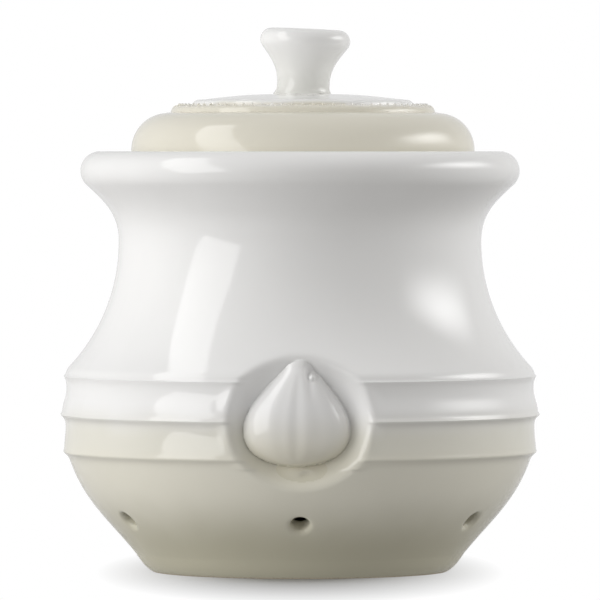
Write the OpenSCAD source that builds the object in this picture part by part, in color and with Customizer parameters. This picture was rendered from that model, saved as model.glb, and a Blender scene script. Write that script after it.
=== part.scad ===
// Garlic keeper: a glazed stoneware jar with vents, and a loose lid with a knob.
// Millimetres. The origin is on the table under the middle of the jar, +Z is up, the front is -Y.

/* [Jar] */
// Height of the jar, from the table to the top of its rim
jar_h = 112; // [104:1:120]
// Widest radius, on the ridge of the upper band
belly_r = 63.5; // [61:0.5:67]
// Thickness of the cast wall
wall = 5; // [4:0.25:6]
// Height of the inside floor above the table
floor_z = 7; // [6:0.5:9]
// Radius of the sweep where the floor turns up into the wall
floor_round = 7; // [4:0.5:9]
// Narrowest outer radius, at the neck
neck_r = 48.4; // [47.5:0.1:50]
// Height of the neck above the table
neck_z = 88; // [84:0.5:92]

/* [Foot] */
// Outer radius of the flat foot
foot_r = 39.3; // [36:0.5:41]
// Width of the foot ring that stands on the table
foot_ring_w = 6; // [4:0.5:8]
// Depth of the hollow inside the foot ring
foot_hollow = 1.2; // [0.6:0.2:2]
// Radius of the bowl where it leaves the foot
bowl_start_r = 44; // [43:0.5:46]
// Height at which the bowl leaves the foot
bowl_start_z = 5; // [4:0.5:6]

/* [Bands] */
// Height of the crease between the bowl and the lower band
crease_low_z = 30.2; // [28:0.2:31]
// Height of the crease between the two bands
crease_mid_z = 39.8; // [39:0.2:41]
// Height of the crease between the upper band and the belly
crease_top_z = 51; // [50:0.2:52]
// How far the lower crease lies inside the widest radius
crease_low_in = 1.7; // [1.2:0.1:2.2]
// How far the middle crease lies inside the widest radius
crease_mid_in = 0.95; // [0.7:0.05:1.3]
// How far the upper crease lies inside the widest radius
crease_top_in = 1.4; // [1:0.1:1.8]
// How far the ridge of the lower band lies inside the widest radius
low_ridge_in = 0.5; // [0.3:0.1:0.8]
// Height of each ridge above the crease below it
ridge_rise = 2.6; // [2:0.2:3.4]
// Radius of the soft shoulder above the upper crease
shoulder_round = 4; // [3:0.5:5]

/* [Rim] */
// Outer radius of the rolled rim
rim_r = 58.6; // [56:0.2:61]
// Radius of the roll
rim_round = 5.2; // [4.5:0.1:6]
// Radius of the mouth
mouth_r = 42.4; // [41:0.2:43]
// Width of the seat that carries the lid
seat_w = 4.5; // [3.5:0.25:5.5]
// Depth of the rebate round the seat
seat_depth = 0.5; // [0.3:0.1:1]

/* [Dish and relief] */
// Height of the middle of the dish above the table
dish_z = 42; // [40:0.5:44]
// Radius of the dish at its edge
dish_r = 19.1; // [18:0.1:20]
// Radius of its flat bed
dish_bed_r = 12; // [10:0.5:13]
// Depth of the bed below the widest radius
dish_depth = 8.3; // [7:0.1:9]
// Width of the garlic bulb
bulb_w = 29.2; // [24:0.2:31]
// Height of the bulb, from its root to the tip of its neck
bulb_h = 28.6; // [24:0.2:30]
// Height of the middle of the bulb above the middle of the dish
bulb_up = 2; // [0:0.2:3]
// How far the bulb stands out from the bed
bulb_t = 8.3; // [6.5:0.1:8.5]
// Half the width of the bulb's neck
bulb_neck_w = 2.5; // [2:0.1:4]
// How far the tip leans to the right of the belly of the bulb
bulb_lean = 2.4; // [0:0.2:4]
// Number of cloves that show
cloves = 5; // [3:1:7]
// Depth of the grooves between cloves, as a share of the bulb's thickness
groove = 0.07; // [0:0.01:0.15]

/* [Vents] */
// Number of vents round the bowl
vents = 6; // [3:1:8]
// Height of the vents above the table
vent_z = 14.5; // [12:0.5:18]
// Diameter of a vent's bore
vent_d = 4.8; // [3:0.2:6]
// Diameter of its softened mouth
vent_mouth_d = 7; // [6.2:0.2:9]
// Depth of the softened mouth
vent_mouth_t = 1.6; // [1:0.2:2.4]

/* [Lid] */
// Play between the lid and the rebate, all round
lid_gap = 1.1; // [0.8:0.1:1.4]
// Play between the flange and the mouth, all round
flange_gap = 1.4; // [0.8:0.1:2]
// How far the lid has slid to one side, as a share of its play
lid_slide = 0.7; // [0:0.05:0.7]
// Height of the flange below the seat
flange_h = 7; // [4:0.5:10]
// Thickness of the flange
flange_t = 4; // [3:0.25:5]
// Thickness of the lid's crown
lid_t = 5; // [4:0.25:6]
// Height of the skirt above the seat
skirt_h = 10.7; // [9:0.1:12]
// Radius of the skirt's quarter round
skirt_round = 9.8; // [8:0.2:10.4]
// Outer radius of the lower ring
ring_low_r = 35.3; // [33:0.1:36]
// Outer radius of the upper ring
ring_high_r = 29.4; // [26:0.1:31]
// Height of the lower ring above the ledge of the skirt
ring_low_h = 2; // [1:0.1:3]
// Height of the upper ring above the lower ring
ring_high_h = 1.5; // [1:0.1:2.5]
// Rise of the crown from the upper ring to the knob
crown_rise = 1.5; // [0.6:0.1:3]

/* [Knob] */
// Height of the knob above the lid
knob_h = 17.4; // [14:0.2:20]
// Radius of the knob's foot
knob_foot_r = 7.9; // [7.6:0.1:9]
// Radius of its waist
knob_waist_r = 7; // [6:0.1:7.4]
// Widest radius of its head
knob_head_r = 12; // [10.6:0.1:13]
// Radius of the head's rolled edge
knob_round = 3; // [2:0.1:4]
// How far the knob leans, in degrees, as it is stuck on by hand
knob_lean = 2.5; // [0:0.5:4]

/* [Hidden] */
$fn = 144;
seam = 0.02;            // points closer than this are one
steps_long = 14;        // segments of a long sweep
steps_short = 6;        // segments of a small round
ledge_rise = 0.2;       // fall of each flat ledge, so that water runs off

seat_z = jar_h - seat_depth;
rebate_r = mouth_r + seat_w;
lid_r = rebate_r - lid_gap;
flange_r = mouth_r - flange_gap;
lid_x = lid_slide * min(lid_gap, flange_gap);

// The bed of the dish is a plane square to Y, and its side is part of a ball that meets the bed
// in a circle of dish_bed_r and the widest radius in one of dish_r.
bed_y = belly_r - dish_depth;
dish_lip_y = sqrt(pow(belly_r, 2) - pow(dish_r, 2));
dish_rise = dish_lip_y - bed_y;
dish_past = (pow(dish_r, 2) - pow(dish_bed_r, 2) - pow(dish_rise, 2)) / (2 * dish_rise);
ball_r = sqrt(pow(dish_r, 2) + pow(dish_past, 2));
ball_y = dish_lip_y + dish_past;

// Points along an arc, from angle a0 to angle a1
function arc(c, r, a0, a1, n) = [for (i = [0:n]) let (a = a0 + (a1 - a0) * i / n) c + r * [cos(a), sin(a)]];

// A sweep from a, which it leaves along angle aa, to b, which it reaches along angle ab.
// ka and kb are its handles as shares of the distance.
function sweep(a, aa, b, ab, ka, kb, n) =
    let (d = norm(b - a), p = a + ka * d * [cos(aa), sin(aa)], q = b - kb * d * [cos(ab), sin(ab)])
    [for (i = [0:n])
        let (t = i / n, u = 1 - t)
        pow(u, 3) * a + 3 * u * u * t * p + 3 * u * t * t * q + pow(t, 3) * b];

// The list without points that repeat the one before
function joined(pts) =
    [for (i = [0:len(pts) - 1])
        if (i == 0 || norm(pts[i] - pts[max(i - 1, 0)]) > seam) pts[i]];

// The line moved to its left by d
function moved(pts, d) =
    [for (i = [0:len(pts) - 1])
        let (t = pts[min(i + 1, len(pts) - 1)] - pts[max(i - 1, 0)])
        pts[i] + d * [-t[1], t[0]] / norm(t)];

// Radius of a rising line at height z
function radius_at(pts, z) =
    let (k = [for (i = [1:len(pts) - 1]) if (pts[i - 1][1] <= z && pts[i][1] > z) i][0])
    pts[k - 1][0] + (pts[k][0] - pts[k - 1][0]) * (z - pts[k - 1][1]) / (pts[k][1] - pts[k - 1][1]);

// The bowl below the bands
crease_low = [belly_r - crease_low_in, crease_low_z];
crease_mid = [belly_r - crease_mid_in, crease_mid_z];
crease_top = [belly_r - crease_top_in, crease_top_z];
bowl_start = [bowl_start_r, bowl_start_z];
bowl = sweep(bowl_start, 51, crease_low, 70, 0.36, 0.39, steps_long);

// A band: a round lip up from its lower crease to its ridge, and a slightly hollow face above
function band(low, ridge_r, top) =
    let (ridge = [ridge_r, low[1] + ridge_rise])
    concat(
        sweep(low, 40, ridge, 92, 0.35, 0.4, steps_short),
        sweep(ridge, 97, top, 88, 0.35, 0.35, steps_short));

// The belly above the bands: a soft shoulder, and the long sweep in to the neck
shoulder_c = [crease_top[0] + 0.2 - shoulder_round, crease_top_z + 0.8];
shoulder = arc(shoulder_c, shoulder_round, 0, 43, steps_short);
neck = [neck_r, neck_z];
belly = sweep(shoulder[steps_short], 133, neck, 90, 0.345, 0.35, steps_long);

// The cove under the rim, and the roll
rim_c = [rim_r - rim_round, jar_h - rim_round];
roll = arc(rim_c, rim_round, -48, 90, 2 * steps_short);
cove = sweep(neck, 90, roll[0], 42, 0.4, 0.42, steps_long);

outside = joined(concat(
    sweep([foot_r, 0], 25, bowl_start, 55, 0.35, 0.3, steps_short),
    bowl,
    band(crease_low, belly_r - low_ridge_in, crease_mid),
    band(crease_mid, belly_r, crease_top),
    shoulder, belly, cove, roll));

// The inner wall lies one wall inside the bowl and the belly, and runs plain behind the bands
inner_bowl = moved(bowl, wall);
inner_belly = moved(belly, wall);
inner_wall = [for (p = joined(concat(
    inner_bowl,
    sweep(inner_bowl[steps_long], 80, inner_belly[0], 110, 0.3, 0.3, steps_short),
    inner_belly))) if (p[1] > floor_z + floor_round) p];
inner_turn = atan2(inner_wall[1][1] - inner_wall[0][1], inner_wall[1][0] - inner_wall[0][0]);
floor_edge = [inner_wall[0][0] - 1.9 * floor_round, floor_z];
mouth_low_z = (neck_z + jar_h) / 2;
inside = joined(concat(
    [[0, floor_z]],
    sweep(floor_edge, 0, inner_wall[0], inner_turn, 0.4, 0.35, steps_short),
    inner_wall,
    sweep(inner_wall[len(inner_wall) - 1], 90, [mouth_r, mouth_low_z], 90, 0.35, 0.35, steps_short),
    [[mouth_r, seat_z]]));

// The jar as if it were solid
module outer_form() {
    rotate_extrude() polygon(concat(
        [[0, foot_hollow], [foot_r - foot_ring_w - foot_hollow, foot_hollow], [foot_r - foot_ring_w, 0]],
        outside,
        [[0, jar_h]]));
}

// The part of a ball in front of a plane: the dish, and the swelling of the wall behind it
module ball_part(r, plane_y) {
    difference() {
        translate([0, -ball_y, dish_z]) rotate([90, 0, 0]) sphere(r);
        translate([-2 * ball_r, -plane_y, dish_z - 2 * ball_r]) cube(4 * ball_r);
    }
}

module dish_space() {
    ball_part(ball_r, bed_y);
}

// The hollow of the jar, with the rebate for the lid, less the swelling behind the dish
module hollow() {
    difference() {
        rotate_extrude() polygon(concat(
            inside,
            [[rebate_r, seat_z],
            [rebate_r + 2 * seat_depth, jar_h + seat_depth],
            [0, jar_h + seat_depth]]));
        ball_part(ball_r + wall, bed_y - wall);
    }
}

// One vent, bored square to the bowl, with a softened mouth
module vent() {
    dz = 1;
    r = radius_at(bowl, vent_z);
    lean = atan2(radius_at(bowl, vent_z + dz) - radius_at(bowl, vent_z - dz), 2 * dz);
    translate([r, 0, vent_z]) rotate([0, 90 + lean, 0]) {
        translate([0, 0, -2 * wall]) cylinder(h = 3 * wall, d = vent_d);
        translate([0, 0, -vent_mouth_t])
            cylinder(h = 2 * vent_mouth_t, d1 = vent_d, d2 = 2 * vent_mouth_d - vent_d);
    }
}

module jar() {
    color("#eeedea") difference() {
        outer_form();
        hollow();
        dish_space();
        for (i = [0:vents - 1]) rotate([0, 0, -90 + 360 * i / vents]) vent();
    }
}

// The bulb, seen from the front: heights are from its widest line.
// Above it the flanks draw in to the neck, below it they round in to the root.
bulb_low = bulb_h * 0.34;
bulb_high = bulb_h - bulb_low;
bulb_rows = 26;
bulb_columns = 30;
root_power = 2.2;       // 2 would be a round root, more is flatter
flank_power = 1.3;      // 1 would be full flanks, more draws them in

function neck_cap(z) = sqrt(1 - pow(max(0, (z - bulb_high + bulb_neck_w) / bulb_neck_w), 2));
function bulb_half(z) = z > 0
    ? (bulb_neck_w + (bulb_w / 2 - bulb_neck_w) * pow(cos(90 * z / bulb_high), flank_power)) * neck_cap(z)
    : bulb_w / 2 * pow(1 - pow(-z / bulb_low, root_power), 1 / root_power);
function clove_swell(a) = 1 - groove * (1 - abs(sin(cloves * (a + 90))));
function bulb_point(z, a) =
    let (w = bulb_half(z), t = (bulb_t - 1) * pow(2 * w / bulb_w, 0.7) * clove_swell(a))
    [bulb_lean * (pow(max(0, z) / bulb_high, 2) - 0.55) + w * sin(a), -bed_y - 1 - t * cos(a), z];

// One ring of points at height z: across the front from edge to edge, and back behind the bed
function bulb_ring(z) =
    let (front = [for (j = [0:bulb_columns]) bulb_point(z, -90 + 180 * j / bulb_columns)],
         right = front[bulb_columns], left = front[0])
    concat(front, [[right[0], wall / 2 - bed_y, z], [left[0], wall / 2 - bed_y, z]]);

module bulb_form() {
    margin = 0.03;
    ring_n = bulb_columns + 3;
    rows = [for (i = [0:bulb_rows])
        let (mid = (bulb_high - bulb_low) / 2) mid - (bulb_h / 2 - margin) * cos(180 * i / bulb_rows)];
    points = [for (z = rows) each bulb_ring(z)];
    sides = [for (i = [0:bulb_rows - 1], j = [0:ring_n - 1])
        let (k = (j + 1) % ring_n, a = i * ring_n, b = a + ring_n)
        each [[a + j, b + j, a + k], [a + k, b + j, b + k]]];
    root = [for (j = [0:ring_n - 1]) j];
    tip = [for (j = [ring_n - 1:-1:0]) bulb_rows * ring_n + j];
    polyhedron(points, concat(sides, [root, tip]));
}

module garlic_relief() {
    color("#e6e4dc") intersection() {
        translate([0, 0, dish_z + bulb_up - (bulb_h / 2 - bulb_low)]) bulb_form();
        dish_space();
    }
}

// Heights of the lid's ledges
ledge_z = seat_z + skirt_h;
ring_low_z = ledge_z + ring_low_h;
ring_high_z = ring_low_z + ring_high_h;
lid_top_z = ring_high_z + crown_rise;
skirt_c = [lid_r - skirt_round, seat_z + skirt_h - skirt_round];
lid_edge = 0.4;         // rounding of the lid's lower edge
flange_edge = 0.6;      // rounding of the flange's lower edges
knob_land_r = knob_foot_r + 0.5;

// A ring's rounded edge: up from its foot at radius r and height z, and in over the top
function ring_edge(r, z, h) = sweep([r, z], 100, [r - 1.1 * h, z + h], 174, 0.4, 0.45, steps_short);

module lid() {
    skirt = concat(
        [[lid_r - lid_edge, seat_z], [lid_r, seat_z + lid_edge]],
        arc(skirt_c, skirt_round, 0, 84, steps_long));
    top = concat(
        ring_edge(ring_low_r, ledge_z + ledge_rise, ring_low_h - ledge_rise),
        ring_edge(ring_high_r, ring_low_z + ledge_rise, ring_high_h - ledge_rise),
        sweep([ring_high_r - 1.1 * ring_high_h - 0.5, ring_high_z], 175, [knob_land_r, lid_top_z], 180,
            0.3, 0.4, steps_short));
    bore_r = flange_r - flange_t;
    crown = sweep([0, lid_top_z - lid_t], 0, [bore_r, seat_z], -90, 0.55, 0.25, steps_long);
    flange_z = seat_z - flange_h;
    flange = [[bore_r, flange_z + flange_edge], [bore_r + flange_edge, flange_z],
        [flange_r - flange_edge, flange_z], [flange_r, flange_z + flange_edge], [flange_r, seat_z]];
    color("#e2dfd0") translate([lid_x, 0, 0])
        rotate_extrude() polygon(joined(concat(skirt, top, [[0, lid_top_z]], crown, flange)));
}

// The knob upright, with its foot drawn out by a root that is cut off level with the lid
module knob_form(root) {
    head_c = [knob_head_r - knob_round, knob_h - knob_round];
    head = arc(head_c, knob_round, -35, 86, 2 * steps_short);
    waist = [knob_waist_r, 0.15 * knob_h];
    rotate_extrude() polygon(joined(concat(
        [[0, -root], [knob_foot_r, -root]],
        sweep([knob_foot_r, 0], 130, waist, 90, 0.4, 0.4, steps_short),
        sweep(waist, 90, head[0], 55, 0.45, 0.3, steps_long),
        head,
        [[0, knob_h]])));
}

module knob() {
    root = 1;
    color("#e4e5e1") translate([lid_x, 0, lid_top_z]) difference() {
        rotate([0, knob_lean, 0]) knob_form(root);
        translate([0, 0, -2 * root]) cube([4 * knob_foot_r, 4 * knob_foot_r, 4 * root], center = true);
    }
}

jar();
garlic_relief();
lid();
knob();
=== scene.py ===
import math

import bpy
from mathutils import Matrix, Vector


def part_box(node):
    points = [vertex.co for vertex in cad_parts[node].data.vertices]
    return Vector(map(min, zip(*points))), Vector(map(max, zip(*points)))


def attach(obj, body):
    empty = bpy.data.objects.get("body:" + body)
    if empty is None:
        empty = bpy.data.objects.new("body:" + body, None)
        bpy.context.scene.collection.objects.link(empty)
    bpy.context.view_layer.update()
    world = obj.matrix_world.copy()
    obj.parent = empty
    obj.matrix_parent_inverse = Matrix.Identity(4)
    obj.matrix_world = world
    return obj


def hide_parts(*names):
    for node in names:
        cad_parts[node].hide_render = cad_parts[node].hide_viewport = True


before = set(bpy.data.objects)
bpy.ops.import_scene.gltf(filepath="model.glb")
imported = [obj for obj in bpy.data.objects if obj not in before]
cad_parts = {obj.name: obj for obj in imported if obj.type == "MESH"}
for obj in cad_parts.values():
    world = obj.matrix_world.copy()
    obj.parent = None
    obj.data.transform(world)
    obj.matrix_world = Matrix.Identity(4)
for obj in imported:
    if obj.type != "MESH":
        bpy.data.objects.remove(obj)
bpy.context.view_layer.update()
mm = 0.001


# ---- Camera ---------------------------------------------------------------------------------
# A long lens two metres in front of the jar, level with its rim and tipped slightly down.
camera_distance = 2.0
camera_height = 0.112
aim_height = 0.0723
focal_length = 449.6
sensor_width = 36

bpy.ops.object.camera_add(
    location=(0, -camera_distance, camera_height),
    rotation=(math.radians(90) - math.atan((camera_height - aim_height) / camera_distance), 0, 0))
camera = bpy.context.object
camera.data.sensor_width = sensor_width
camera.data.lens = focal_length
bpy.context.scene.camera = camera
bpy.context.scene.view_settings.view_transform = "Standard"


# ---- Jar ------------------------------------------------------------------------------------
# The jar is stoneware, slip-cast in one piece with its foot, its two bands and its rolled rim.
# The mould presses a round dish into the front, the six vents are pierced through the bowl before
# firing, and it is glazed all over except for the ring it stands on.
jar_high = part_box("jar")[1]
belly_r = jar_high.x / mm
jar_h = jar_high.z / mm
wall = 5
floor_z = 7
floor_round = 7
foot_r = 39.3
foot_ring_w = 6
foot_hollow = 1.2
bowl_start = (44, 5)
crease_low = (belly_r - 1.7, 30.7)
crease_mid = (belly_r - 0.85, 40.6)
crease_top = (belly_r - 1.1, 50.7)
ridge_rise = 2.3
low_ridge = (belly_r - 0.5, crease_low[1] + ridge_rise)
high_ridge = (belly_r, crease_mid[1] + ridge_rise)
shoulder_round = 4
shoulder_turn = 43
neck = (48.4, 88)
rim_r = 58.6
rim_round = 5.2
mouth_r = 42.4
seat_w = 4.5
seat_z = jar_h - 0.5
edge_round = 0.6
vents = 6
vent_z = 14.5
vent_d = 4.8
vent_lip = 1.2
vent_dimple_d = 9
vent_dimple_t = 0.35
close = 0.6   # spacing of the mesh's rows where the dish and the bands shape it
coarse = 3    # and on the inside
fine = 0.35   # and under each ridge
crease_reach = 1.6
crease_rise_low = 70
crease_rise_high = 88
ledge_angle = 40
ridge_angle = 94
top_ledge_angle = 65
shoulder_angle = 100
rim_start = -48
rim_middle = 21
inner_turn = (47.1, 15)


def beside(point, angle, distance):
    """The point at a distance to the left of one on a line that runs along an angle."""
    turn = math.radians(angle + 90)
    return (point[0] + distance * math.cos(turn), point[1] + distance * math.sin(turn))


def sweep(start, leaving, end, arriving, share_out, share_in, spacing):
    """One stretch of an outline: it leaves its start and reaches its end along given angles."""
    reach = math.dist(start, end)
    out, into = math.radians(leaving), math.radians(arriving)
    first = (start[0] + share_out * reach * math.cos(out), start[1] + share_out * reach * math.sin(out))
    second = (end[0] - share_in * reach * math.cos(into), end[1] - share_in * reach * math.sin(into))
    return start, first, second, end, max(1, round(reach / spacing))


def straight(start, end, spacing):
    angle = math.degrees(math.atan2(end[1] - start[1], end[0] - start[0]))
    return sweep(start, angle, end, angle, 1 / 3, 1 / 3, spacing)


def round_part(centre, radius, angle_from, angle_to, spacing):
    """An arc of at most a right angle."""
    a, b = math.radians(angle_from), math.radians(angle_to)
    start = (centre[0] + radius * math.cos(a), centre[1] + radius * math.sin(a))
    end = (centre[0] + radius * math.cos(b), centre[1] + radius * math.sin(b))
    share = 4 / 3 * math.tan(abs(b - a) / 4) * radius / math.dist(start, end)
    side = 90 if b > a else -90
    return sweep(start, angle_from + side, end, angle_to + side, share, share, spacing)


def turned(name, outline, sectors, axis_x=0):
    """A solid of revolution: the outline is drawn in front of the axis and spun round it."""
    bpy.ops.object.select_all(action="DESELECT")
    bpy.ops.curve.primitive_bezier_curve_add(location=(0, 0, 0))
    piece = bpy.context.object
    piece.name = name
    for i, (start, first, second, end, steps) in enumerate(outline):
        stretch = piece.data.splines[0] if i == 0 else piece.data.splines.new("BEZIER")
        if i > 0:
            stretch.bezier_points.add(1)
        stretch.resolution_u = steps
        for knot, place, before, after in (
                (stretch.bezier_points[0], start, start, first),
                (stretch.bezier_points[1], end, second, end)):
            knot.handle_left_type = knot.handle_right_type = "FREE"
            knot.co = (axis_x * mm, -place[0] * mm, place[1] * mm)
            knot.handle_left = (axis_x * mm, -before[0] * mm, before[1] * mm)
            knot.handle_right = (axis_x * mm, -after[0] * mm, after[1] * mm)
    bpy.ops.object.convert(target="MESH")
    bpy.ops.object.mode_set(mode="EDIT")
    bpy.ops.mesh.select_all(action="SELECT")
    bpy.ops.mesh.remove_doubles(threshold=0.01 * mm)
    bpy.ops.object.mode_set(mode="OBJECT")
    axis = Matrix.Translation((axis_x * mm, 0, 0))
    parts = []
    start = 0
    for angle, steps in sectors:
        part = piece.copy()
        part.data = piece.data.copy()
        bpy.context.collection.objects.link(part)
        part.data.transform(axis @ Matrix.Rotation(math.radians(start), 4, "Z") @ axis.inverted())
        bpy.ops.object.select_all(action="DESELECT")
        bpy.context.view_layer.objects.active = part
        bpy.ops.object.mode_set(mode="EDIT")
        bpy.ops.mesh.select_all(action="SELECT")
        bpy.ops.mesh.spin(steps=steps, angle=math.radians(angle), center=(axis_x * mm, 0, 0), axis=(0, 0, 1))
        bpy.ops.object.mode_set(mode="OBJECT")
        parts.append(part)
        start -= angle  # a spin turns clockwise, seen from above
    piece.data.clear_geometry()
    for part in parts:
        part.select_set(True)
    piece.select_set(True)
    bpy.context.view_layer.objects.active = piece
    bpy.ops.object.join()
    bpy.ops.object.mode_set(mode="EDIT")
    bpy.ops.mesh.select_all(action="SELECT")
    bpy.ops.mesh.remove_doubles(threshold=0.01 * mm)
    bpy.ops.mesh.normals_make_consistent(inside=False)
    bpy.ops.object.mode_set(mode="OBJECT")
    return piece


def eased(corner, arriving, leaving, reach):
    """A stretch that rounds off a corner of the outline, over a reach to each side of it."""
    start = beside(corner, arriving + 90, reach)
    end = beside(corner, leaving - 90, reach)
    return sweep(start, arriving, end, leaving, 0.45, 0.45, 0.3)


shoulder_c = (crease_top[0] + 0.3 - shoulder_round, crease_top[1] + 1.2)
shoulder_mid = round_part(shoulder_c, shoulder_round, 10, shoulder_turn, close)
belly_start = shoulder_mid[3]
rim_c = (rim_r - rim_round, jar_h - rim_round)
roll_low = round_part(rim_c, rim_round, rim_start, rim_middle, close)
roll_high = round_part(rim_c, rim_round, rim_middle, 90, close)
rebate_r = mouth_r + seat_w
inner_neck = (neck[0] - wall, neck[1])
inner_belly = beside(belly_start, 90 + shoulder_turn, wall)
inner_bowl = beside(crease_low, 70, wall)
floor_edge = (inner_turn[0] - 1.9 * floor_round, floor_z)

low_crease = eased(crease_low, crease_rise_low, ledge_angle, crease_reach)
mid_crease = eased(crease_mid, crease_rise_high, ledge_angle, crease_reach)
top_crease = eased(crease_top, crease_rise_high, top_ledge_angle, crease_reach)

jar_outline = [
    straight((0, foot_hollow), (foot_r - foot_ring_w - foot_hollow, foot_hollow), 8),
    straight((foot_r - foot_ring_w - foot_hollow, foot_hollow), (foot_r - foot_ring_w, 0), 1),
    straight((foot_r - foot_ring_w, 0), (foot_r, 0), 1.5),
    sweep((foot_r, 0), 25, bowl_start, 55, 0.35, 0.3, close),
    sweep(bowl_start, 51, low_crease[0], crease_rise_low, 0.36, 0.39, 0.48),
    low_crease,
    sweep(low_crease[3], ledge_angle, low_ridge, ridge_angle, 0.35, 0.4, fine),
    sweep(low_ridge, ridge_angle, mid_crease[0], crease_rise_high, 0.35, 0.35, close),
    mid_crease,
    sweep(mid_crease[3], ledge_angle, high_ridge, ridge_angle, 0.35, 0.4, fine),
    sweep(high_ridge, ridge_angle, top_crease[0], crease_rise_high, 0.35, 0.35, close),
    top_crease,
    sweep(top_crease[3], top_ledge_angle, shoulder_mid[0], shoulder_angle, 0.35, 0.4, fine),
    shoulder_mid,
    sweep(belly_start, 90 + shoulder_turn, neck, 90, 0.345, 0.35, 1),
    sweep(neck, 90, roll_low[0], 42, 0.4, 0.42, 1.2),
    roll_low,
    roll_high,
    straight((rim_c[0], jar_h), (rebate_r + edge_round, jar_h), 2),
    sweep((rebate_r + edge_round, jar_h), 180, (rebate_r, seat_z), 225, 0.5, 0.2, 0.2),
    straight((rebate_r, seat_z), (mouth_r + edge_round, seat_z), 1.5),
    round_part((mouth_r + edge_round, seat_z - edge_round), edge_round, 90, 180, 0.2),
    straight((mouth_r, seat_z - edge_round), (mouth_r, (neck[1] + jar_h) / 2), coarse),
    sweep((mouth_r, (neck[1] + jar_h) / 2), -90, inner_neck, -90, 0.35, 0.35, coarse),
    sweep(inner_neck, -90, inner_belly, shoulder_turn - 90, 0.35, 0.345, coarse),
    sweep(inner_belly, -70, inner_bowl, -100, 0.3, 0.3, 2),
    sweep(inner_bowl, -110, inner_turn, -122, 0.36, 0.3, 2),
    sweep(inner_turn, -123, floor_edge, 180, 0.35, 0.4, 2),
    straight(floor_edge, (0, floor_z), 12),
]

dish_sector = 43
vent_sector = 10
vent_steps = 28
dish_side = ((dish_sector - vent_sector) / 2, 33)
vent_half = (vent_sector / 2, vent_steps // 2)
vent_whole = (vent_sector, vent_steps)
gap_first = (360 / vents - vent_sector / 2 - dish_sector / 2, 15)
gap = (360 / vents - vent_sector, 22)
half_round = [vent_half, dish_side, gap_first, vent_whole, gap, vent_whole, gap, vent_half]
jar = turned("stoneware_jar", jar_outline, half_round + half_round[::-1])

# The dish is part of a ball that meets the bed in one circle and the widest radius in another
dish_z = 42
dish_r = 18.5
dish_bed_r = 12
bed_y = belly_r - 8.3
dish_lip_y = math.sqrt(belly_r ** 2 - dish_r ** 2)
dish_rise = dish_lip_y - bed_y
dish_past = (dish_r ** 2 - dish_bed_r ** 2 - dish_rise ** 2) / (2 * dish_rise)
ball_r = math.hypot(dish_r, dish_past)
ball_y = dish_lip_y + dish_past
bed_blend = 2.4
lip_blend = 2.5


def soft_max(a, b, blend):
    """The larger of two heights, with the crease between them filled over a given width."""
    near = max(blend - abs(a - b), 0) / blend
    return max(a, b) + near * near * blend / 4


def dish_depth(x, z, radius, bed):
    """Y of the dish at a point seen from the front, in millimetres, for a ball of this radius."""
    across = x * x + (z - dish_z) ** 2
    if across >= radius * radius:
        return -1000
    return -soft_max(ball_y - math.sqrt(radius * radius - across), bed, bed_blend)


# Round the dish the creases between the bands run out
pad_r = 22.5
pad_line = (
    (crease_low[1] - 1.5, crease_low[0]), (low_ridge[1], low_ridge[0]),
    (high_ridge[1], high_ridge[0]), (crease_top[1] + 3, crease_top[0]))


def pad_radius(z):
    """Radius of the straight lines from ridge to ridge, or none above and below them."""
    for (z_a, r_a), (z_b, r_b) in zip(pad_line, pad_line[1:]):
        if z_a <= z <= z_b:
            return r_a + (r_b - r_a) * (z - z_a) / (z_b - z_a)
    return 0


outward = [v.normal.y < 0 for v in jar.data.vertices]
for v, outside in zip(jar.data.vertices, outward):
    x, y, z = v.co / mm
    if y < 0 and abs(x) < dish_sector and z > floor_z + floor_round:
        if outside:
            around = math.hypot(x, z - dish_z)
            short = pad_radius(z) - math.hypot(x, y)
            if around < pad_r and short > 0:
                share = min(1, (pad_r - around) / (pad_r - dish_r))
                y -= short * share * share * (3 - 2 * share)
            y = soft_max(y, dish_depth(x, z, ball_r, bed_y), lip_blend)
        else:
            y = soft_max(y, dish_depth(x, z, ball_r + wall, bed_y - wall), lip_blend)
        v.co.y = y * mm


def outline_at(stretch, height):
    """Radius and rising angle of one stretch of an outline at a height."""
    a, b, c, d = stretch[:4]
    low, high = 0, 1
    for _ in range(30):
        t = (low + high) / 2
        u = 1 - t
        z = u ** 3 * a[1] + 3 * u * u * t * b[1] + 3 * u * t * t * c[1] + t ** 3 * d[1]
        low, high = (t, high) if z < height else (low, t)
    radius = u ** 3 * a[0] + 3 * u * u * t * b[0] + 3 * u * t * t * c[0] + t ** 3 * d[0]
    run = [u * u * (b[i] - a[i]) + 2 * u * t * (c[i] - b[i]) + t * t * (d[i] - c[i]) for i in (0, 1)]
    return radius, math.degrees(math.atan2(run[1], run[0]))


vent_r, vent_slope = outline_at(jar_outline[4], vent_z)
vent_dip = math.radians(90 - vent_slope)
vent_axes = []
for i in range(vents):
    turn = math.radians(360 / vents * i - 90)
    middle = Vector((vent_r * math.cos(turn), vent_r * math.sin(turn), vent_z))
    level = math.cos(vent_dip)
    outward = Vector((level * math.cos(turn), level * math.sin(turn), -math.sin(vent_dip)))
    vent_axes.append((middle, outward))

# Each vent has a round lip in a shallow dimple, as the wet sponge and the glaze leave it
dimple_r = vent_dimple_d / 2
bore_r = vent_d / 2
for v in jar.data.vertices:
    if v.co.z > 2 * vent_z * mm:
        continue
    for middle, outward in vent_axes:
        gone = v.co / mm - middle
        along = gone.dot(outward)
        aside = (gone - along * outward).length
        if abs(along) < wall / 2 and aside < dimple_r:
            dip = vent_dimple_t * (1 + math.cos(math.pi * aside / dimple_r)) / 2
            into = min(1, max(0, (bore_r + vent_lip - aside) / vent_lip))
            v.co -= outward * (dip + vent_lip * (1 - math.sqrt(1 - into * into))) * mm

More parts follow.
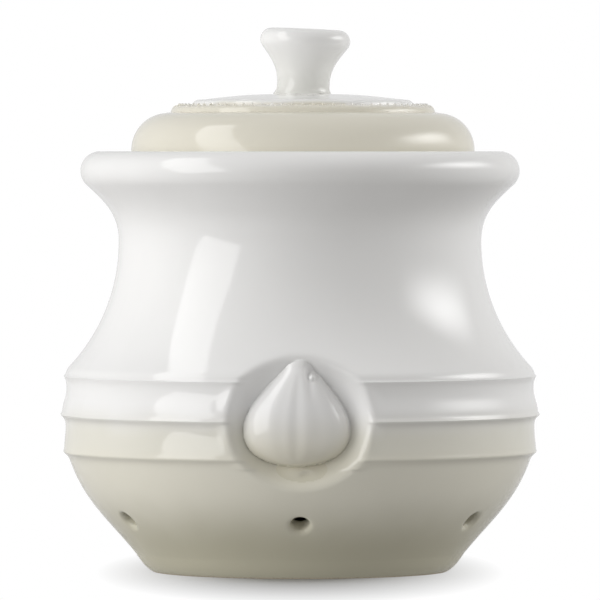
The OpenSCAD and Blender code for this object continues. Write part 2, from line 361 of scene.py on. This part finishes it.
bpy.ops.object.select_all(action="DESELECT")
cutters = []
for middle, outward in vent_axes:
    bpy.ops.mesh.primitive_cylinder_add(
        vertices=48, radius=bore_r * mm, depth=3 * wall * mm, location=middle * mm,
        rotation=outward.to_track_quat("Z", "Y").to_euler())
    cutters.append(bpy.context.object)
for cutter in cutters:
    cutter.select_set(True)
bpy.ops.object.join()
bores = bpy.context.object
cut = jar.modifiers.new("vents", "BOOLEAN")
cut.operation = "DIFFERENCE"
cut.solver = "MANIFOLD"
cut.object = bores
bpy.context.view_layer.objects.active = jar
bpy.ops.object.modifier_apply(modifier=cut.name)
bpy.data.objects.remove(bores)


def linear(colour):
    """The linear value of an sRGB hex colour."""
    parts = [int(colour[i:i + 2], 16) / 255 for i in (1, 3, 5)]
    return [p / 12.92 if p <= 0.04045 else ((p + 0.055) / 1.055) ** 2.4 for p in parts] + [1]


def add(tree, kind, settings=None, inputs=None):
    """One node, with its settings, and its inputs as values or as the sockets that feed them."""
    node = tree.nodes.new(kind)
    for name, value in (settings or {}).items():
        setattr(node, name, value)
    for name, value in (inputs or {}).items():
        if isinstance(value, bpy.types.NodeSocket):
            tree.links.new(value, node.inputs[name])
        else:
            node.inputs[name].default_value = value
    return node


def patches(tree, place, size, detail):
    """Noise whose patches are about this many millimetres across."""
    return add(tree, "ShaderNodeTexNoise", inputs={
        "Vector": place, "Scale": 1 / (size * mm), "Detail": detail})


cloud_size = 22
cloud_drift = 5
peel_size = 5
peel_depth = 0.006
wave_size = 26
wave_depth = 0.12
gloss_range = (0.05, 0.09)
glaze_ior = 1.5
grog_size = 0.9
grog_depth = 0.08
bare_roughness = 0.85
grog_shade = 0.75


def stoneware_glaze(name, colours):
    """Tin-white gloss glaze, dipped: a glassy skin with a faint orange peel and soft clouds, and a
    colour at each of some heights, with soft changes between them."""
    material = bpy.data.materials.new(name)
    material.use_nodes = True
    tree = material.node_tree
    shader = tree.nodes["Principled BSDF"]
    place = add(tree, "ShaderNodeTexCoord").outputs["Object"]
    clouds = patches(tree, place, cloud_size, 2)
    peel = patches(tree, place, peel_size, 1)
    waves = patches(tree, place, wave_size, 1)
    height = add(tree, "ShaderNodeSeparateXYZ", inputs={"Vector": place}).outputs["Z"]
    drift = add(tree, "ShaderNodeMath", {"operation": "MULTIPLY_ADD"},
                {0: clouds.outputs["Fac"], 1: cloud_drift * mm, 2: height})
    low, high = colours[0][0], colours[-1][0]
    share = add(tree, "ShaderNodeMapRange", inputs={
        "Value": drift.outputs[0],
        "From Min": (low + cloud_drift / 2) * mm, "From Max": (high + cloud_drift / 2) * mm})
    tint = add(tree, "ShaderNodeValToRGB", inputs={"Fac": share.outputs["Result"]})
    tint.color_ramp.interpolation = "EASE"
    for i, (level, colour) in enumerate(colours):
        at = (level - low) / (high - low)
        stop = tint.color_ramp.elements[0] if i == 0 else tint.color_ramp.elements.new(at)
        stop.position = at
        stop.color = linear(colour)
    tint.color_ramp.elements.remove(tint.color_ramp.elements[-1])
    cloud = add(tree, "ShaderNodeMapRange",
                inputs={"Value": clouds.outputs["Fac"], "To Min": 0.975, "To Max": 1.02})
    shade = add(tree, "ShaderNodeVectorMath", {"operation": "SCALE"},
                {0: tint.outputs["Color"], "Scale": cloud.outputs["Result"]})
    tree.links.new(shade.outputs["Vector"], shader.inputs["Base Color"])
    gloss = add(tree, "ShaderNodeMapRange", inputs={
        "Value": peel.outputs["Fac"], "To Min": gloss_range[0], "To Max": gloss_range[1]})
    tree.links.new(gloss.outputs["Result"], shader.inputs["Roughness"])
    rough = add(tree, "ShaderNodeBump", inputs={
        "Height": peel.outputs["Fac"], "Distance": peel_depth * mm, "Strength": 1})
    wavy = add(tree, "ShaderNodeBump", inputs={
        "Height": waves.outputs["Fac"], "Distance": wave_depth * mm, "Strength": 1,
        "Normal": rough.outputs["Normal"]})
    tree.links.new(wavy.outputs["Normal"], shader.inputs["Normal"])
    shader.inputs["IOR"].default_value = glaze_ior
    return material


def bare_stoneware(name, colour):
    """Fired clay without glaze, wiped with a sponge: dry, and speckled with fine grog."""
    material = bpy.data.materials.new(name)
    material.use_nodes = True
    tree = material.node_tree
    shader = tree.nodes["Principled BSDF"]
    place = add(tree, "ShaderNodeTexCoord").outputs["Object"]
    grog = patches(tree, place, grog_size, 3)
    tint = add(tree, "ShaderNodeValToRGB", inputs={"Fac": grog.outputs["Fac"]})
    tint.color_ramp.elements[0].position = 0.3
    tint.color_ramp.elements[0].color = [grog_shade * c for c in linear(colour)[:3]] + [1]
    tint.color_ramp.elements[1].position = 0.5
    tint.color_ramp.elements[1].color = linear(colour)
    tree.links.new(tint.outputs["Color"], shader.inputs["Base Color"])
    grit = add(tree, "ShaderNodeBump", inputs={
        "Height": grog.outputs["Fac"], "Distance": grog_depth * mm, "Strength": 1})
    tree.links.new(grit.outputs["Normal"], shader.inputs["Normal"])
    shader.inputs["Roughness"].default_value = bare_roughness
    return material


def finish_faces(piece, glaze, bare, is_bare=lambda place: False, crease=38):
    """The glaze all over, and the bare clay on the faces where it was wiped off."""
    piece.data.materials.clear()
    piece.data.materials.append(glaze)
    piece.data.materials.append(bare)
    for face in piece.data.polygons:
        face.material_index = 1 if is_bare(face.center / mm) else 0
    bpy.ops.object.select_all(action="DESELECT")
    piece.select_set(True)
    bpy.context.view_layer.objects.active = piece
    bpy.ops.object.shade_smooth_by_angle(angle=math.radians(crease))


# The glaze runs from white at the top to cream lower down. The stops also hold painted light and painted
# shade: they are lighter round 24 mm, where the bowl turns down, and darker down to 7 mm, where the bowl
# faces the floor.
jar_glaze_and_painted_shading = [(7, "#C9C5B0"), (24, "#F2EFE1"), (31, "#F0EDE0"), (36, "#EEECE1"), (46, "#ECEAE6")]
bare_colour = "#CFC4AE"
wiped_z = 0.2
jar_glaze = stoneware_glaze("white_dipped_glaze", jar_glaze_and_painted_shading)
bisque = bare_stoneware("bare_stoneware", bare_colour)
finish_faces(jar, jar_glaze, bisque, lambda place: place.z < wiped_z)
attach(jar, "jar")
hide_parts("jar")


# ---- Garlic relief --------------------------------------------------------------------------
# A garlic bulb in low relief stands in the dish. It is pressed in a small mould of its own and luted
# into the dish with slip. The glaze covers both, so its foot runs out without a seam.
bulb_half_w = 13.9
bulb_side = -0.95
bulb_waist_z = dish_z - 2.7
bulb_high = 18.7
bulb_low = 9.1
bulb_t = 8.1
neck_half_w = 2.5
bulb_lean = 0.95
cap_r = 1.6
foot_blend = 2.6
foot_slope = 2.5
bulb_fullness = 0.6
lobe_roundness = 0.46
foot_roundness = 2.2
valleys = ((-0.66, 0.2, 0.16), (-0.3, 0.13, 0.18), (0, 0.14, 0.42), (0.42, 0.16, 0.26))  # place, width, depth
valley_reach = 24
fold_x = 2.3
fold_slant = 0.1
fold_w = 0.9
fold_t = 0.5
curl = (1.5, (3.3, 12.4), 2.5, 2.6)       # rise, place from the dish's middle, half width, half height
curl_pearl = (2, (3.15, 11.6), 1.3, 1.4)
root_swelling = (1.2, (0.5, -12.6), 9, 4.2)
root_pit = (1.1, (1.8, -14), 2.4, 1.4)
root_sunk = 0.3
root_blend = 1.2


def bulb_half(up):
    """Half the bulb's width at a height above its widest line."""
    if up >= bulb_high or up <= -bulb_low:
        return 0
    if up > 0:
        cap = math.sqrt(1 - max(0, (up - bulb_high + cap_r) / cap_r) ** 2)
        flank = math.cos(math.radians(90 * up / bulb_high)) ** 1.3
        return (neck_half_w + (bulb_half_w - neck_half_w) * flank) * cap
    return bulb_half_w * (1 - (-up / bulb_low) ** foot_roundness) ** (1 / foot_roundness)


def bump(x, z, middle, size_x, size_z):
    """A round swelling of height 1, seen from the front."""
    away = ((x - middle[0]) / size_x) ** 2 + ((z - dish_z - middle[1]) / size_z) ** 2
    return max(0, 1 - away) ** 2


def relief_y(x, z):
    """Y of the relief's face at a point seen from the front, and of the dish behind it."""
    dish = dish_depth(x, z, ball_r, bed_y)
    up = z - bulb_waist_z
    half = bulb_half(up)
    across = x - bulb_side - bulb_lean * (max(0, up) / bulb_high) ** 2
    out = max(0, abs(across) - half) + max(0, -up - bulb_low) + max(0, up - bulb_high)
    face = -bed_y + foot_slope * out
    if half > 0 and abs(across) < half:
        share = across / half
        thick = bulb_t * (half / bulb_half_w) ** bulb_fullness * (1 - share * share) ** lobe_roundness
        face = -bed_y - thick
        along = math.sin(math.pi * min(1, (up + bulb_low) / valley_reach)) ** 0.7
        for at, width, depth in valleys:
            face += depth * math.exp(-((share - at) / width) ** 2) * along
        from_fold = (x - fold_x - fold_slant * (dish_z + 12 - z)) / fold_w
        face += fold_t * math.exp(-from_fold ** 2) * min(1, max(0, (up - 8) / 6))
    face += curl[0] * bump(x, z, *curl[1:]) - curl_pearl[0] * bump(x, z, *curl_pearl[1:])
    root = dish + (foot_blend + root_sunk) - (foot_blend + root_swelling[0]) * bump(x, z, *root_swelling[1:])
    root += root_pit[0] * bump(x, z, *root_pit[1:])
    bulb = -soft_max(-face, -root, root_blend)
    return -soft_max(-bulb, -dish, foot_blend), dish


relief_step = 0.3
relief_w = 18
relief_low = dish_z - 18
relief_high = dish_z + 18.2
relief_t = 1.5
seat_in = 0.02
least_rise = 0.004
columns = round(2 * relief_w / relief_step)
rows = round((relief_high - relief_low) / relief_step)
bpy.ops.object.select_all(action="DESELECT")
bpy.ops.mesh.primitive_grid_add(
    x_subdivisions=columns, y_subdivisions=rows, size=1, location=(0, 0, 0),
    rotation=(math.radians(90), 0, 0))
relief = bpy.context.object
relief.name = "garlic_bulb_relief"
bpy.ops.object.transform_apply(location=False, rotation=True, scale=True)
for v in relief.data.vertices:
    x = v.co.x * 2 * relief_w
    z = (relief_low + relief_high) / 2 + v.co.z * (relief_high - relief_low)
    face, dish = relief_y(x, z)
    v.co = Vector((x, face + seat_in, z)) * mm
bpy.ops.object.mode_set(mode="EDIT")
bpy.ops.mesh.select_all(action="DESELECT")
bpy.ops.mesh.select_mode(type="VERT")
bpy.ops.object.mode_set(mode="OBJECT")
for v in relief.data.vertices:
    face, dish = relief_y(v.co.x / mm, v.co.z / mm)
    v.select = dish - face < least_rise
bpy.ops.object.mode_set(mode="EDIT")
bpy.ops.mesh.delete(type="VERT")
bpy.ops.mesh.select_all(action="SELECT")
bpy.ops.mesh.normals_make_consistent(inside=False)
bpy.ops.object.mode_set(mode="OBJECT")
thicken = relief.modifiers.new("body", "SOLIDIFY")
thicken.thickness = relief_t * mm
thicken.offset = -1
bpy.ops.object.modifier_apply(modifier=thicken.name)
relief_colours = [(24, "#E4E1D0"), (31, "#EBE7D7"), (46, "#EDE9DE")]
relief_glaze = stoneware_glaze("relief_glaze", relief_colours)
finish_faces(relief, relief_glaze, bisque, crease=80)
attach(relief, "jar")
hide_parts("garlic_relief")


# ---- Lid ------------------------------------------------------------------------------------
# The lid is cast hollow and dipped in a cream glaze. Its rounded skirt stands in the rebate of the
# rim, a flange below keeps it there, and two low rings step up to the knob.
lid_low, lid_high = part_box("lid")
lid_x = (lid_low.x + lid_high.x) / 2 / mm
lid_r = (lid_high.x - lid_low.x) / 2 / mm
lid_top_z = lid_high.z / mm
flange_low_z = lid_low.z / mm
flange_r = 41
flange_t = 4
lid_t = 5
crown_rise = 1.5
ring_low_h = 2
ring_high_h = 1.5
ring_low_r = 35.3
ring_high_r = 29.4
skirt_round = 9.8
ledge_rise = 0.2
knob_foot_r = 7.9
edge_chamfer = 0.4
flange_round = 0.6
ring_slope = 1.1
# Above the lower ring the cream glaze turns to grey: the top is glazed white, and the grey on it is painted
# shade.
lid_glaze_and_painted_shade = [(lid_top_z - 3.2, "#F0ECDE"), (lid_top_z - 1.5, "#C8C5C1")]
ring_high_z = lid_top_z - crown_rise
ring_low_z = ring_high_z - ring_high_h
ledge_z = ring_low_z - ring_low_h
skirt_c = (lid_r - skirt_round, ledge_z - skirt_round)
skirt_end = round_part(skirt_c, skirt_round, 42, 84, 0.6)[3]
underside_r = flange_r - flange_t


def ring_edge(radius, foot, height):
    """The steep side of a ring, from its foot to its top."""
    return sweep((radius, foot), 100, (radius - ring_slope * height, foot + height), 174, 0.4, 0.45, 0.25)


lid_outline = [
    straight((lid_r - edge_chamfer, seat_z), (lid_r, seat_z + edge_chamfer), 0.3),
    straight((lid_r, seat_z + edge_chamfer), (lid_r, skirt_c[1]), 0.6),
    round_part(skirt_c, skirt_round, 0, 42, 0.6),
    round_part(skirt_c, skirt_round, 42, 84, 0.6),
    straight(skirt_end, (ring_low_r, ledge_z + ledge_rise), 0.4),
    ring_edge(ring_low_r, ledge_z + ledge_rise, ring_low_h - ledge_rise),
    straight((ring_low_r - ring_slope * (ring_low_h - ledge_rise), ring_low_z),
             (ring_high_r, ring_low_z + ledge_rise), 0.5),
    ring_edge(ring_high_r, ring_low_z + ledge_rise, ring_high_h - ledge_rise),
    sweep((ring_high_r - ring_slope * (ring_high_h - ledge_rise), ring_high_z), 175,
          (knob_foot_r + 0.5, lid_top_z), 180, 0.3, 0.4, 1),
    straight((knob_foot_r + 0.5, lid_top_z), (0, lid_top_z), 4),
    sweep((0, lid_top_z - lid_t), 0, (underside_r, seat_z), -90, 0.55, 0.25, 2),
    straight((underside_r, seat_z), (underside_r, flange_low_z + flange_round), 2),
    round_part((underside_r + flange_round, flange_low_z + flange_round), flange_round, 180, 270, 0.2),
    straight((underside_r + flange_round, flange_low_z), (flange_r - flange_round, flange_low_z), 1.5),
    round_part((flange_r - flange_round, flange_low_z + flange_round), flange_round, -90, 0, 0.2),
    straight((flange_r, flange_low_z + flange_round), (flange_r, seat_z), 2),
    straight((flange_r, seat_z), (lid_r - edge_chamfer, seat_z), 1.5),
]
lid = turned("stoneware_lid", lid_outline, [(360, 240)], lid_x)
lid_glaze = stoneware_glaze("cream_dipped_glaze", lid_glaze_and_painted_shade)
finish_faces(lid, lid_glaze, bisque, lambda place: (
    place.z < seat_z + 0.05 and math.hypot(place.x - lid_x, place.y) > underside_r + 0.7))
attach(lid, "lid")
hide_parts("lid")


# ---- Ring of leaves on the lid --------------------------------------------------------------
# Small leaves with dots between them stand on the edge of the lower ring. They are cast with the
# lid, and its glaze rounds them off.
leaf_pairs = 38
leaf_turn = 30
leaf_tilt = 45
leaf_size = (0.5, 1.3, 0.55)
dot_size = (0.42, 0.42, 0.42)
leaf_r = ring_low_r - 1.05
leaf_z = ring_low_z - 0.8
dot_r = ring_low_r - 2.3
dot_z = ring_low_z + 0.15
pair_turn = 360 / leaf_pairs

beads = []
for share, size, radius, height, slant in (
        (-0.25, leaf_size, leaf_r, leaf_z, leaf_turn), (0.25, leaf_size, leaf_r, leaf_z, -leaf_turn),
        (0, dot_size, dot_r, dot_z, 0), (0.5, dot_size, dot_r, dot_z, 0)):
    bpy.ops.object.select_all(action="DESELECT")
    bpy.ops.mesh.primitive_uv_sphere_add(segments=12, ring_count=8, radius=mm, location=(0, 0, 0))
    bead = bpy.context.object
    lie = Matrix.Rotation(math.radians(leaf_tilt), 4, "X") @ Matrix.Rotation(math.radians(slant), 4, "Z")
    spot = Matrix.Translation((0, -radius * mm, height * mm)) @ lie @ Matrix.Diagonal((*size, 1))
    bead.data.transform(Matrix.Rotation(math.radians(share * pair_turn), 4, "Z") @ spot)
    beads.append(bead)
for bead in beads:
    bead.select_set(True)
bpy.ops.object.join()
leaves = bpy.context.object
leaves.name = "ring_of_leaves"
bpy.ops.object.empty_add(location=(0, 0, 0), rotation=(0, 0, math.radians(pair_turn)))
next_pair = bpy.context.object
row = leaves.modifiers.new("round_the_lid", "ARRAY")
row.use_relative_offset = False
row.use_object_offset = True
row.offset_object = next_pair
row.count = leaf_pairs
bpy.context.view_layer.objects.active = leaves
bpy.ops.object.modifier_apply(modifier=row.name)
bpy.data.objects.remove(next_pair)
leaves.data.transform(Matrix.Translation((lid_x * mm, 0, 0)))
finish_faces(leaves, lid_glaze, bisque, crease=80)
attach(leaves, "lid")


# ---- Knob -----------------------------------------------------------------------------------
# The knob is cast by itself, glazed white and stuck to the lid with slip before firing, so it
# stands a little out of true.
knob_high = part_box("knob")[1]
knob_h = 17.4
knob_lean = 2.5
knob_root = 1
knob_waist_r = 7
knob_head_r = 12
knob_round = 3
knob_colours = [(lid_top_z, "#EAEAE5"), (knob_high.z / mm, "#EAEBE8")]
head_c = (knob_head_r - knob_round, knob_h - knob_round)
head_low = round_part(head_c, knob_round, -35, 26, 0.35)
head_high = round_part(head_c, knob_round, 26, 86, 0.35)
waist = (knob_waist_r, 0.15 * knob_h)
knob = turned("stoneware_knob", [
    straight((0, -knob_root), (knob_foot_r, -knob_root), 3),
    straight((knob_foot_r, -knob_root), (knob_foot_r, 0), 0.5),
    sweep((knob_foot_r, 0), 130, waist, 90, 0.4, 0.4, 0.3),
    sweep(waist, 90, head_low[0], 55, 0.45, 0.3, 0.5),
    head_low,
    head_high,
    straight(head_high[3], (0, knob_h), 2),
], [(360, 128)])
lean = Matrix.Rotation(math.radians(knob_lean), 4, "Y")
knob.data.transform(Matrix.Translation((lid_x * mm, 0, lid_top_z * mm)) @ lean)
bpy.ops.object.mode_set(mode="EDIT")
bpy.ops.mesh.select_all(action="SELECT")
bpy.ops.mesh.bisect(plane_co=(0, 0, lid_top_z * mm), plane_no=(0, 0, 1), use_fill=True, clear_inner=True)
bpy.ops.object.mode_set(mode="OBJECT")
knob_glaze = stoneware_glaze("white_knob_glaze", knob_colours)
finish_faces(knob, knob_glaze, bisque)
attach(knob, "lid")
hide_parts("knob")


# ---- Studio ---------------------------------------------------------------------------------
# White paper under the jar, a tall softbox that leans over it from the left, a wide one on the
# right, and soft light from the room. Round the foot the camera sees the jar's shadow on the paper,
# deepened by a painted shadow, plain white further off, and no paper from below.
paper_size = 6
paper_colour = (0.95, 0.95, 0.95, 1)
# The paper round the foot is a darker grey, a painted shadow stretched to the front and back, and turns to
# plain white between the two fade distances.
shadow_colour = (0.47, 0.47, 0.47, 1)
shadow_stretch = (2.8, 1, 0)
shadow_fade = (0.048, 0.152)
mirror_fade = (0.2, 0.5)
room_light_edge = 4
room_lights = [  # azimuth from the front, height, strength
    (-60, 5, 0.78), (-92, -35, 0.88), (0, 30, 0.21), (65, 20, 0.72), (92, -35, 0.52), (135, 30, 0.2),
    (180, 40, 0.6)]
room_colour = (1, 0.985, 0.955, 1)
wall_depth = (-1, 0.3)
wall_light = (0.2, 0.75)
lamp_aim = (0, 0, 0.07)

bpy.ops.object.select_all(action="DESELECT")
bpy.ops.mesh.primitive_plane_add(size=paper_size, location=(0, 0, 0))
floor = bpy.context.object
floor.name = "paper_sweep"
paper = bpy.data.materials.new("white_paper")
paper.use_nodes = True
tree = paper.node_tree
tree.nodes.clear()
path = add(tree, "ShaderNodeLightPath")
paper_white = add(tree, "ShaderNodeBsdfDiffuse", inputs={"Color": paper_colour})
paper_shade = add(tree, "ShaderNodeBsdfDiffuse", inputs={"Color": shadow_colour})
glow = add(tree, "ShaderNodeEmission", inputs={"Color": (1, 1, 1, 1), "Strength": 1})
place = add(tree, "ShaderNodeTexCoord").outputs["Object"]
away = add(tree, "ShaderNodeVectorMath", {"operation": "LENGTH"}, {0: place})
far = add(tree, "ShaderNodeMapRange", {"interpolation_type": "SMOOTHSTEP"}, {
    "Value": away.outputs["Value"], "From Min": mirror_fade[0], "From Max": mirror_fade[1]})
flat = add(tree, "ShaderNodeVectorMath", {"operation": "MULTIPLY"}, {0: place, 1: shadow_stretch})
flat = add(tree, "ShaderNodeVectorMath", {"operation": "LENGTH"}, {0: flat.outputs[0]})
# Near the foot the camera sees the grey paper of the painted shadow, further off plain white.
clear = add(tree, "ShaderNodeMapRange", inputs={
    "Value": flat.outputs["Value"], "From Min": shadow_fade[0], "From Max": shadow_fade[1]})
shown = add(tree, "ShaderNodeMixShader", inputs={
    0: clear.outputs["Result"], 1: paper_shade.outputs[0], 2: glow.outputs[0]})
mirrored = add(tree, "ShaderNodeMath", {"operation": "MAXIMUM"},
               {0: path.outputs["Is Glossy Ray"], 1: path.outputs["Is Transmission Ray"]})
unseen = add(tree, "ShaderNodeBsdfTransparent")
reflected = add(tree, "ShaderNodeMixShader", inputs={
    0: far.outputs["Result"], 1: paper_white.outputs[0], 2: unseen.outputs[0]})
both = add(tree, "ShaderNodeMixShader", inputs={
    0: mirrored.outputs[0], 1: unseen.outputs[0], 2: reflected.outputs[0]})
below = add(tree, "ShaderNodeNewGeometry").outputs["Backfacing"]
shown = add(tree, "ShaderNodeMixShader", inputs={0: below, 1: shown.outputs[0], 2: unseen.outputs[0]})
both = add(tree, "ShaderNodeMixShader", inputs={
    0: path.outputs["Is Camera Ray"], 1: both.outputs[0], 2: shown.outputs[0]})
add(tree, "ShaderNodeOutputMaterial", inputs={"Surface": both.outputs[0]})
floor.data.materials.append(paper)

world = bpy.data.worlds.new("studio")
bpy.context.scene.world = world
world.use_nodes = True
tree = world.node_tree
tree.nodes.clear()
path = add(tree, "ShaderNodeLightPath")
seen = add(tree, "ShaderNodeMath", {"operation": "MAXIMUM"},
           {0: path.outputs["Is Camera Ray"], 1: path.outputs["Is Glossy Ray"]})
seen = add(tree, "ShaderNodeMath", {"operation": "MAXIMUM"},
           {0: seen.outputs[0], 1: path.outputs["Is Transmission Ray"]})
way = add(tree, "ShaderNodeTexCoord").outputs["Generated"]
room_light = 0
for azimuth, height, strength in room_lights:
    rise = math.radians(height)
    middle = Matrix.Rotation(math.radians(azimuth), 3, "Z") @ Vector((0, -math.cos(rise), math.sin(rise)))
    near = add(tree, "ShaderNodeVectorMath", {"operation": "DOT_PRODUCT"}, {0: way, 1: middle})
    near = add(tree, "ShaderNodeMath", {"operation": "MAXIMUM"}, {0: near.outputs["Value"], 1: 0})
    near = add(tree, "ShaderNodeMath", {"operation": "POWER"}, {0: near.outputs[0], 1: room_light_edge})
    sum_up = add(tree, "ShaderNodeMath", {"operation": "MULTIPLY_ADD"},
                 {0: near.outputs[0], 1: strength, 2: room_light})
    room_light = sum_up.outputs[0]
ambient = add(tree, "ShaderNodeBackground", inputs={"Color": room_colour, "Strength": room_light})
depth = add(tree, "ShaderNodeSeparateXYZ", inputs={"Vector": way}).outputs["Y"]
walls = add(tree, "ShaderNodeMapRange", {"interpolation_type": "SMOOTHSTEP"}, {
    "Value": depth, "From Min": wall_depth[0], "From Max": wall_depth[1],
    "To Min": wall_light[0], "To Max": wall_light[1]})
walls = add(tree, "ShaderNodeMath", {"operation": "MAXIMUM"},
            {0: walls.outputs["Result"], 1: path.outputs["Is Camera Ray"]})
backdrop = add(tree, "ShaderNodeBackground", inputs={"Color": (1, 1, 1, 1), "Strength": walls.outputs[0]})
both = add(tree, "ShaderNodeMixShader", inputs={
    0: seen.outputs[0], 1: ambient.outputs[0], 2: backdrop.outputs[0]})
add(tree, "ShaderNodeOutputWorld", inputs={"Surface": both.outputs[0]})


def softbox(name, place, up, width, height, radiance, edge):
    """A rectangular lamp that faces the jar, with its long side along up. Its cloth front is
    dimmer towards the frame, over a share of its width and height."""
    bpy.ops.object.light_add(type="AREA", location=place)
    lamp = bpy.context.object
    lamp.name = name
    lamp.data.shape = "RECTANGLE"
    lamp.data.size = width
    lamp.data.size_y = height
    lamp.data.energy = radiance * math.pi * width * height
    long = Vector(up).normalized()
    right = long.cross(Vector(place) - Vector(lamp_aim)).normalized()
    facing = Matrix((right, long, right.cross(long))).transposed().to_4x4()
    lamp.matrix_world = Matrix.Translation(place) @ facing
    lamp.data.use_nodes = True
    tree = lamp.data.node_tree
    spot = add(tree, "ShaderNodeNewGeometry").outputs["Parametric"]
    middle = (0.5, 0.5, 0)
    off_middle = add(tree, "ShaderNodeVectorMath", {"operation": "SUBTRACT"}, {0: spot, 1: middle})
    off_middle = add(tree, "ShaderNodeVectorMath", {"operation": "ABSOLUTE"}, {0: off_middle.outputs[0]})
    halves = add(tree, "ShaderNodeSeparateXYZ", inputs={0: off_middle.outputs[0]})
    dim = [add(tree, "ShaderNodeMapRange", {"interpolation_type": "SMOOTHSTEP"}, {
        "Value": halves.outputs[i], "From Min": 0.5 - share, "From Max": 0.5, "To Min": 1, "To Max": 0})
        for i, share in enumerate(edge)]
    both = add(tree, "ShaderNodeMath", {"operation": "MULTIPLY"},
               {0: dim[0].outputs["Result"], 1: dim[1].outputs["Result"]})
    tree.links.new(both.outputs[0], tree.nodes["Emission"].inputs["Strength"])


softbox("left_softbox", (-1.04, -0.237, 1.088), (-0.136, 0.422, 0.892), 0.6, 2.5, 2.7, (0.06, 0.02))
softbox("right_softbox", (1.5, 0.15, 0.78), (0, 0, 1), 2.0, 1.1, 5.4, (0.5, 0.5))
